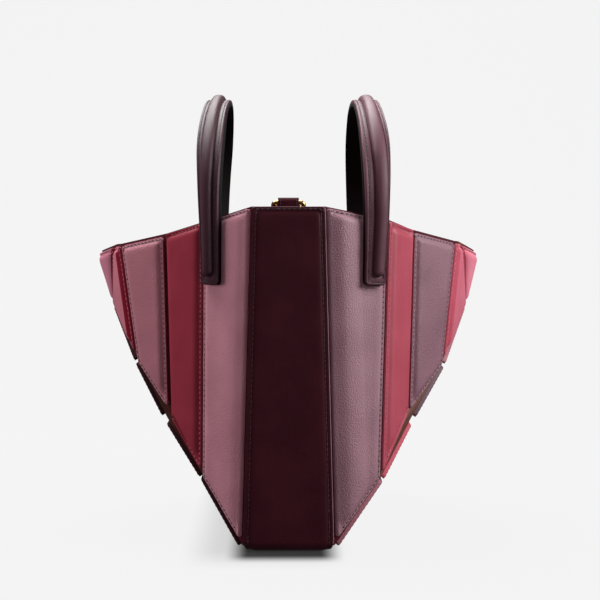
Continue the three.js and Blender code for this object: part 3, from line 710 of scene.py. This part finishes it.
# The right-hand edge faces take the light mauve: painted highlight.
for face in strip.data.polygons:
    if face.normal.x > HIGHLIGHT_TILT and STRIP_THICK < face.center.z / MM < STRIP_THICK + HIGHLIGHT_RISE:
        face.material_index = PAINTED_SHADING
bends = [wall_run + bend_run * k / BEND_CUTS for k in range(BEND_CUTS + 1)]
walls = [wall_run * k / WALL_CUTS for k in range(1, WALL_CUTS)]
middle = [strip_run / 2 + base_run * k / WALL_CUTS for k in range(1 - WALL_CUTS // 2, WALL_CUTS // 2)]
front = walls + bends
sliced(strip, (0, 1), front + middle + [strip_run - cut for cut in front])
sliced(strip, (1, 0), [STRIP_TOP_HALF * k / CROWN_LINES for k in range(-2, 3)])
sewn_in = [STRIP_STITCH_DOWN] + [STRIP_STITCH_IN] * 3 + [STRIP_STITCH_DOWN] + [STRIP_STITCH_IN] * 3
seam = rounded_line(trimmed(outline, sewn_in), SEAM_CORNER)
row = sewing("end_strip_sewing", spaced(seam, STITCH_PITCH), STRIP_LEVEL)
sewn_together(strip, row, on_strip, (*BORDEAUX, strip_edge_highlight))
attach(strip, "bag")
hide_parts("end_strip")

# Handles: a plum leather strap raised over a padded roll, on a black backing, sewn along both margins.
# The black of the back and backing is partly painted shade, for the dark under and beside the strap.
# Each arches over the open top, narrows to its feet and is sewn by its flat ends to the first panels.

STRAP_WIDTH, STRAP_BACKING = 21, 2.4
STRAP_FOOT_Z, STRAP_FULL_Z, STRAP_APEX_Z = 179, 290, 315
STRAP_FOOT_SHARE = 0.73
STRAP_TOP_OF_ROLL = 8.7
ARCH_POWER = 2.5
SOLID_PANEL, SLOT_HALF, STRAP_CLEAR = 3.4, 0.8, 1.1
STRAP_SEAT = SEAT_GAP + SOLID_PANEL + SEAT_GAP
STRAP_INWARD = STRAP_WIDTH / 2 + SLOT_HALF + STRAP_CLEAR
STRAP_EDGE = [(0.1, 0.12), (0.2, -0.12), (0.06, 1.7), (0.12, 0.35), (0.3, 0.2)]
STRAP_MARGIN = STRAP_EDGE + [(0.9, 0.0), (0.3, -0.14), (0.3, -0.02), (0.3, 0.02), (0.3, 0.14), (1.5, 0.0)]
STRAP_GROOVE = [(0.25, -0.45), (0.3, -0.15), (0.3, 0.0)]
STRAP_ROLL = [(0.13, 0.9), (0.31, 1.15), (0.52, 1.0), (0.75, 0.72), (0.92, 0.43), (1.05, 0.22), (1.05, 0.1)]
STRAP_LEVEL = 4.5
STRAP_STITCH_IN = 2.25
ROLL_END, ROLL_DOME, DOME_FADE = 0.3, 4, 20
# How far the front legs stand out from their drawn line at the foot and above, and the back legs above, with
# the height where a front leg stands out fully and how fast both come back to the line towards the top.
STRAP_OUT = {"right": (1.1, 1.5, 0), "left": (0.7, 2.3, 6)}
LEG_OUT_Z, FRONT_FADE, BACK_FADE = 250, 6, 2
# How far the roll lies off the middle of the strap, its share of that at the foot, and the heights where it
# is fully off, begins to come back and is in the middle again.
ROLL_OFF = {"right": 3.2, "left": 0.5}
ROLL_HALF, ROLL_FOOT_SHARE = 5.5, 0.6
ROLL_OFF_Z, ROLL_BACK_Z, ROLL_MIDDLE_Z = 230, 245, 300
# How much narrower the strap's outer and inner halves are at the top, and from which share of the arch.
STRAP_NARROWER = {"right": (0.27, 0), "left": (0.2, 0.15)}
NARROW_FROM = 0.55
STRAP_TIP, STRAP_CORNER, STRAP_SEAM_CORNER = 0.8, 3.2, 2
BACKING_LIP = 0.13
STRAP_CUTS = [0.4, 0.8, 1.2, 1.7, 2.3, 2.9, 3.6]
LEG_STEPS, ARCH_STEPS, STRAP_SLICES = 24, 120, 110
STRAP_NEARBY, ROLL_BRIM = 1.5, 0.05

STRAP_GRAIN = dict(pebble=0.7, relief=0.16, roughness=0.5, gloss=0.28)
# The left strap is darker than the right: painted shade on the left handle, painted light on the right.
strap_leathers = {"right": leather("strap_leather_right", "5a3641", "4d2c36", **STRAP_GRAIN),
                  "left": leather("strap_leather_left", "3c222b", "321a22", **STRAP_GRAIN)}
# Near black for the strap's back and backing: black leather, partly painted shade.
strap_back_and_shade = leather("strap_back_and_shade", "0b0406", "070304", pebble=0.5, relief=0.1, roughness=0.7, gloss=0.15)
strap_thread = thread("strap_thread", "422530")
half = STRAP_WIDTH / 2
margin = sum(step for step, rise in STRAP_MARGIN + STRAP_GROOVE)


def eased(value, start, end):
    """Nought up to the start, one from the end, smooth between them."""
    t = max(0, min(1, (value - start) / (end - start)))
    return t * t * (3 - 2 * t)


for side_name, side in SIDES:
    node = f"handle_{side_name}"
    rim, foot = rims[side_name], feet[side_name]
    panel_yaw = math.atan2(rim[1].y - rim[0].y, rim[1].x - rim[0].x)
    leg_top = rim[1].z

    def strap_seat(z):
        """Middle of the strap on the first panel at a height."""
        edge = rim[1].lerp(foot[1], (leg_top - z) / (leg_top - foot[1].z))
        return Vector((edge.x - STRAP_INWARD * math.cos(panel_yaw) + STRAP_SEAT * math.sin(panel_yaw),
                       edge.y - STRAP_INWARD * math.sin(panel_yaw) - STRAP_SEAT * math.cos(panel_yaw), z))

    spring = strap_seat(leg_top)
    arch_rise = STRAP_APEX_Z - STRAP_TOP_OF_ROLL - leg_top
    path = [strap_seat(STRAP_FOOT_Z + (leg_top - STRAP_FOOT_Z) * k / LEG_STEPS) for k in range(LEG_STEPS)]
    for k in range(ARCH_STEPS + 1):
        angle = k / ARCH_STEPS * math.pi / 2
        path.append(Vector((spring.x, spring.y * max(0, math.cos(angle)) ** (2 / ARCH_POWER),
                            leg_top + arch_rise * math.sin(angle) ** (2 / ARCH_POWER))))
    path += [Vector((p.x, -p.y, p.z)) for p in reversed(path[:-1])]
    reach = [0.0]
    for a, b in zip(path, path[1:]):
        reach.append(reach[-1] + (b - a).length)
    strap_run = reach[-1]

    def strap_spot(along):
        """Place of the strap's middle line at a length from its front end."""
        along = min(max(along, 0), strap_run)
        k = min(bisect_right(reach, along) - 1, len(path) - 2)
        return path[k].lerp(path[k + 1], (along - reach[k]) / (reach[k + 1] - reach[k]))

    def on_strap(x, y, z):
        """A point of the strap: across, along from the front end, and out from its back."""
        centre = strap_spot(y)
        along = (strap_spot(y + STRAP_NEARBY) - strap_spot(y - STRAP_NEARBY)).normalized()
        yaw = panel_yaw * max(-1, min(1, centre.y / spring.y))
        across = Vector((math.cos(yaw), math.sin(yaw), 0))
        across = (across - along * across.dot(along)).normalized()
        share = STRAP_FOOT_SHARE + (1 - STRAP_FOOT_SHARE) * eased(centre.z, STRAP_FOOT_Z, STRAP_FULL_Z)
        near_top = eased(centre.z, leg_top + arch_rise * NARROW_FROM, leg_top + arch_rise)
        x *= 1 - STRAP_NARROWER[side_name][0 if x > 0 else 1] * near_top
        off_share = ROLL_FOOT_SHARE + (1 - ROLL_FOOT_SHARE) * eased(centre.z, STRAP_FOOT_Z, ROLL_OFF_Z)
        off_share *= 1 - eased(centre.z, ROLL_BACK_Z, ROLL_MIDDLE_Z)
        x += ROLL_OFF[side_name] * off_share * min(1, (half - abs(x)) / (half - ROLL_HALF))
        foot_out, front_out, back_out = STRAP_OUT[side_name]
        risen = max(0, (centre.z - leg_top) / arch_rise)
        if centre.y > 0:
            out = back_out * (1 - risen ** BACK_FADE) * eased(centre.z, STRAP_FOOT_Z, leg_top)
        else:
            out = foot_out + (front_out - foot_out) * eased(centre.z, STRAP_FOOT_Z, LEG_OUT_Z)
            out *= 1 - risen ** FRONT_FADE
        spot = centre + across * (x * share + out) + across.cross(along).normalized() * z
        return Vector((spot.x * side, spot.y, spot.z))

    outline = [Vector((-half, 0)), Vector((half, 0)), Vector((half, strap_run)), Vector((-half, strap_run))]
    strap = padded_piece(f"rolled_{node}", outline, STRAP_TIP, STRAP_BACKING,
                         STRAP_MARGIN + STRAP_GROOVE + STRAP_ROLL, tip=STRAP_TIP)
    far_cuts = [strap_run - cut for cut in STRAP_CUTS]
    slices = [strap_run * k / STRAP_SLICES for k in range(1, STRAP_SLICES)]
    sliced(strap, (0, 1), STRAP_CUTS + slices + far_cuts)
    sliced(strap, (1, 0), [0] + [half - cut for cut in STRAP_CUTS] + [cut - half for cut in STRAP_CUTS])
    for vertex in strap.data.vertices:
        x, y = vertex.co.x / MM, min(vertex.co.y / MM, strap_run - vertex.co.y / MM)
        far_end = vertex.co.y / MM > strap_run / 2
        if y > margin - ROLL_BRIM:
            dome = 1 - math.sqrt(max(0, 1 - (x / (half - margin)) ** 2))
            y += (ROLL_END + ROLL_DOME * dome) * max(0, 1 - (y - margin) / DOME_FADE)
        corner_x, corner_y = STRAP_CORNER - (half - abs(x)), STRAP_CORNER - y
        if corner_x > 0 and corner_y > 0:
            round_off = max(corner_x, corner_y) / math.hypot(corner_x, corner_y)
            x = math.copysign(half - STRAP_CORNER + corner_x * round_off, x)
            y = STRAP_CORNER - corner_y * round_off
        vertex.co.x, vertex.co.y = x * MM, (strap_run - y if far_end else y) * MM
    # The back and the backing's sides take the near black, partly painted shade.
    for face in strap.data.polygons:
        if face.center.z < (STRAP_BACKING + BACKING_LIP) * MM:
            face.material_index = PAINTED_SHADING
    seam = rounded_line(trimmed(outline, [STRAP_STITCH_IN] * 4), STRAP_SEAM_CORNER)
    row = sewing(node + "_sewing", spaced(seam, STITCH_PITCH), STRAP_LEVEL)
    sewn_together(strap, row, on_strap, (strap_leathers[side_name], strap_thread, needle_hole, strap_back_and_shade))
    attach(strap, "bag")
    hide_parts(node)

# Tabs: a bordeaux leather loop at the middle of each end, folded over the ring's bar.
# Both leaves go down inside the rim, and a row of stitches runs down each edge.

tab_leather = leather("tab_leather", "3a131c", "2e0e16", pebble=0.7, relief=0.16, roughness=0.6, gloss=0.04)
TAB_HALF = 7
TAB_FACE_Y = -135.7
TAB_SEAM_LOW, TAB_SEAM_HIGH, TAB_SEAM_IN = 214.5, 235.5, 1.6
TAB_PITCH, TAB_STITCH, TAB_THREAD, TAB_LEVEL = 2.6, 1.9, 0.5, 0.05
for end_name, end in ENDS:
    node = f"tab_{end_name}"
    tab = merged_copy(node, f"folded_{node}")
    rounded_edges(tab, 0.35, 3, 40)
    smooth(tab, 45)
    tab.data.materials.append(tab_leather)
    seams = []
    for edge in (-TAB_HALF + TAB_SEAM_IN, TAB_HALF - TAB_SEAM_IN):
        line = [Vector((edge, TAB_SEAM_LOW)), Vector((edge, TAB_SEAM_HIGH))]
        seams += spaced(line, TAB_PITCH, closed=False)
    row = sewing(node + "_sewing", seams, TAB_LEVEL, length=TAB_STITCH, thread=TAB_THREAD)
    for look in BORDEAUX[1:]:
        tab.data.materials.append(look)
    for look in BORDEAUX:
        row.data.materials.append(look)

    def on_tab(x, y, z):
        return Vector((x, (TAB_FACE_Y - z) * end, y))

    lay(row, on_tab)
    smooth(row, THREAD_SMOOTH)
    joined(tab, row)
    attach(tab, "bag")
    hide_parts(node)

# Rings: round brass bar bent to a rounded rectangle, brazed shut and plated pale gold.
# Each hangs by its top bar in the tab's fold and turns freely there.

RING_HALF, RING_DROP, RING_CORNER, RING_BAR = 10.15, 12, 2, 3
RING_BAR_Y, RING_BAR_Z = -132.45, 234.7
RING_LEAN = math.radians(12)


def gold(name):
    """Polished gold plate with fine wear."""
    material = bpy.data.materials.new(name)
    material.use_nodes = True
    nodes, links = material.node_tree.nodes, material.node_tree.links
    surface = nodes["Principled BSDF"]
    surface.inputs["Metallic"].default_value = 1
    place = nodes.new("ShaderNodeTexCoord")
    wear = nodes.new("ShaderNodeTexNoise")
    wear.inputs["Scale"].default_value = 400
    wear.inputs["Detail"].default_value = 4
    links.new(place.outputs["Object"], wear.inputs["Vector"])
    polish = nodes.new("ShaderNodeMapRange")
    polish.inputs["To Min"].default_value = 0.14
    polish.inputs["To Max"].default_value = 0.3
    links.new(wear.outputs["Fac"], polish.inputs["Value"])
    links.new(polish.outputs["Result"], surface.inputs["Roughness"])
    mix = nodes.new("ShaderNodeMix")
    mix.data_type = "RGBA"
    mix.inputs["A"].default_value = tint("e2bd72")
    mix.inputs["B"].default_value = tint("c99f55")
    links.new(wear.outputs["Fac"], mix.inputs["Factor"])
    links.new(mix.outputs["Result"], surface.inputs["Base Color"])
    return material


gold_plate = gold("gold_plate")
for end_name, end in ENDS:
    node = f"ring_{end_name}"
    bpy.ops.object.select_all(action="DESELECT")
    bpy.ops.mesh.primitive_plane_add(size=2)
    ring = bpy.context.active_object
    ring.name = ring.data.name = f"gold_{node}"
    for vertex in ring.data.vertices:
        vertex.co = (vertex.co.x * RING_HALF * MM, (vertex.co.y - 1) * RING_DROP / 2 * MM, 0)
    bpy.ops.object.mode_set(mode="EDIT")
    bpy.ops.mesh.select_all(action="SELECT")
    bpy.ops.mesh.bevel(offset=RING_CORNER * MM, segments=8, affect="VERTICES")
    bpy.ops.mesh.delete(type="ONLY_FACE")
    bpy.ops.object.mode_set(mode="OBJECT")
    bpy.ops.object.convert(target="CURVE")
    ring.data.bevel_depth = RING_BAR / 2 * MM
    ring.data.bevel_resolution = 5
    bpy.ops.object.convert(target="MESH")
    ring.data.materials.clear()
    ring.data.materials.append(gold_plate)

    def hanging(x, y, z):
        out = z * math.cos(RING_LEAN) - y * math.sin(RING_LEAN)
        up = y * math.cos(RING_LEAN) + z * math.sin(RING_LEAN)
        return Vector((x, (RING_BAR_Y + out) * end, RING_BAR_Z + up))

    lay(ring, hanging)
    smooth(ring, 60)
    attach(ring, node)
    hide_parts(node)

# Stage: a pale paper sweep from the floor up behind the bag, soft studio lights and the camera.
# The camera stands level with the rim, a little to the left of the front end strip.

SWEEP_NEAR, SWEEP_FAR, SWEEP_HALF, SWEEP_HEIGHT, SWEEP_BEND = -1.6, 1.6, 3.0, 3.2, 0.9
bpy.ops.object.select_all(action="DESELECT")
bpy.ops.mesh.primitive_plane_add(size=1)
sweep = bpy.context.active_object
sweep.name = "paper_sweep"
for vertex in sweep.data.vertices:
    far_edge = vertex.co.y > 0
    vertex.co = (math.copysign(SWEEP_HALF, vertex.co.x), SWEEP_FAR if far_edge else SWEEP_NEAR, 0)
bpy.ops.object.mode_set(mode="EDIT")
bpy.ops.mesh.select_mode(type="EDGE")
bpy.ops.mesh.select_all(action="DESELECT")
bpy.ops.object.mode_set(mode="OBJECT")
for edge in sweep.data.edges:
    edge.select = all(sweep.data.vertices[k].co.y > 0 for k in edge.vertices)
bpy.ops.object.mode_set(mode="EDIT")
bpy.ops.mesh.extrude_region_move(TRANSFORM_OT_translate={"value": (0, 0, SWEEP_HEIGHT)})
bpy.ops.object.mode_set(mode="OBJECT")
for edge in sweep.data.edges:
    ends = [sweep.data.vertices[k].co for k in edge.vertices]
    edge.select = all(end.y > 0 and end.z < SWEEP_HEIGHT / 2 for end in ends)
bpy.ops.object.mode_set(mode="EDIT")
bpy.ops.mesh.bevel(offset=SWEEP_BEND, segments=24, affect="EDGES")
bpy.ops.object.mode_set(mode="OBJECT")
smooth(sweep, 60)

PAPER_TONE, PAPER_LIGHT, ROOM_LIGHT = 0.012, 0.875, 0.08
# The shade of the bag on the paper, close round its base and a faint one towards the left: along each axis
# its middle and the distances from it where it is full and gone, in mm, and then the light it takes away.
CLOSE_SHADE = (("X", -3, 24, 41), ("Y", 0, 151, 179), 0.96)
FAINT_SHADE = (("X", -15, 28, 60), ("Y", 0, 130, 205), 0.25)
paper = bpy.data.materials.new("paper")
paper.use_nodes = True
nodes, links = paper.node_tree.nodes, paper.node_tree.links
paper_surface = nodes["Principled BSDF"]
paper_surface.inputs["Base Color"].default_value = (PAPER_TONE, PAPER_TONE, PAPER_TONE, 1)
paper_surface.inputs["Roughness"].default_value = 0.9
paper_surface.inputs["Specular IOR Level"].default_value = 0
paper_surface.inputs["Emission Strength"].default_value = PAPER_LIGHT
place = nodes.new("ShaderNodeTexCoord")
axes = nodes.new("ShaderNodeSeparateXYZ")
links.new(place.outputs["Object"], axes.inputs["Vector"])


def falls_off(axis, centre, full, none):
    """One near the middle of an axis, none beyond a distance from it, in mm."""
    shift = nodes.new("ShaderNodeMath")
    shift.operation = "SUBTRACT"
    shift.inputs[1].default_value = centre * MM
    links.new(axes.outputs[axis], shift.inputs[0])
    away = nodes.new("ShaderNodeMath")
    away.operation = "ABSOLUTE"
    links.new(shift.outputs["Value"], away.inputs[0])
    fade = nodes.new("ShaderNodeMapRange")
    fade.interpolation_type = "SMOOTHSTEP"
    fade.inputs["From Min"].default_value = full * MM
    fade.inputs["From Max"].default_value = none * MM
    fade.inputs["To Min"].default_value = 1
    fade.inputs["To Max"].default_value = 0
    links.new(away.outputs["Value"], fade.inputs["Value"])
    return fade.outputs["Result"]


def shade(across, along, depth):
    """The share of light left in a shaded patch."""
    patch = nodes.new("ShaderNodeMath")
    patch.operation = "MULTIPLY"
    links.new(across, patch.inputs[0])
    links.new(along, patch.inputs[1])
    left = nodes.new("ShaderNodeMath")
    left.operation = "MULTIPLY_ADD"
    left.inputs[1].default_value = -depth
    left.inputs[2].default_value = 1
    links.new(patch.outputs["Value"], left.inputs[0])
    return left.outputs["Value"]


both = nodes.new("ShaderNodeMath")
both.operation = "MULTIPLY"
for k, (across, along, depth) in enumerate((CLOSE_SHADE, FAINT_SHADE)):
    links.new(shade(falls_off(*across), falls_off(*along), depth), both.inputs[k])
links.new(both.outputs["Value"], paper_surface.inputs["Emission Color"])
sweep.visible_diffuse = False
sweep.visible_glossy = False
sweep.data.materials.append(paper)

world = bpy.data.worlds.new("studio")
bpy.context.scene.world = world
world.use_nodes = True
world.node_tree.nodes["Background"].inputs["Color"].default_value = (1, 1, 1, 1)
world.node_tree.nodes["Background"].inputs["Strength"].default_value = ROOM_LIGHT


def softbox(name, place, width, height, power, mirrored=True):
    """A soft light that faces the bag and shows in its sheen only if mirrored."""
    bpy.ops.object.light_add(type="AREA", location=place)
    light = bpy.context.active_object
    light.name = name
    light.data.shape = "RECTANGLE"
    light.data.size, light.data.size_y = width, height
    light.data.energy = power
    light.visible_glossy = mirrored
    light.rotation_euler = (HEART - Vector(place)).to_track_quat("-Z", "Y").to_euler()


softbox("key_right", (1.4, -0.5, 0.95), 1.1, 0.9, 37)
softbox("fill_left", (-1.6, 0.02, 0.22), 0.8, 0.9, 28, mirrored=False)
softbox("fill_front", (0, -2.2, 0.5), 1.0, 0.8, 8, mirrored=False)
softbox("top", (-0.35, 0.5, 1.5), 1.7, 1.3, 66)

CAMERA_REACH = 1.143
CAMERA_ORBIT = math.radians(0.15)
CAMERA_HEIGHT = 0.2242
CAMERA_PITCH = math.radians(2.73)
CAMERA_YAW = math.radians(0.384)
STRIP_FACE = Vector((0, -0.1417, 0))
camera_data = bpy.data.cameras.new("camera")
camera_data.lens = 103
camera_data.sensor_width = 36
camera = bpy.data.objects.new("camera", camera_data)
bpy.context.scene.collection.objects.link(camera)
camera.location = STRIP_FACE + Vector((-math.sin(CAMERA_ORBIT), -math.cos(CAMERA_ORBIT), 0)) * CAMERA_REACH
camera.location.z = CAMERA_HEIGHT
camera.rotation_euler = (math.pi / 2 - CAMERA_PITCH, 0, -CAMERA_ORBIT - CAMERA_YAW)
bpy.context.scene.camera = camera
bpy.context.scene.view_settings.view_transform = "Standard"
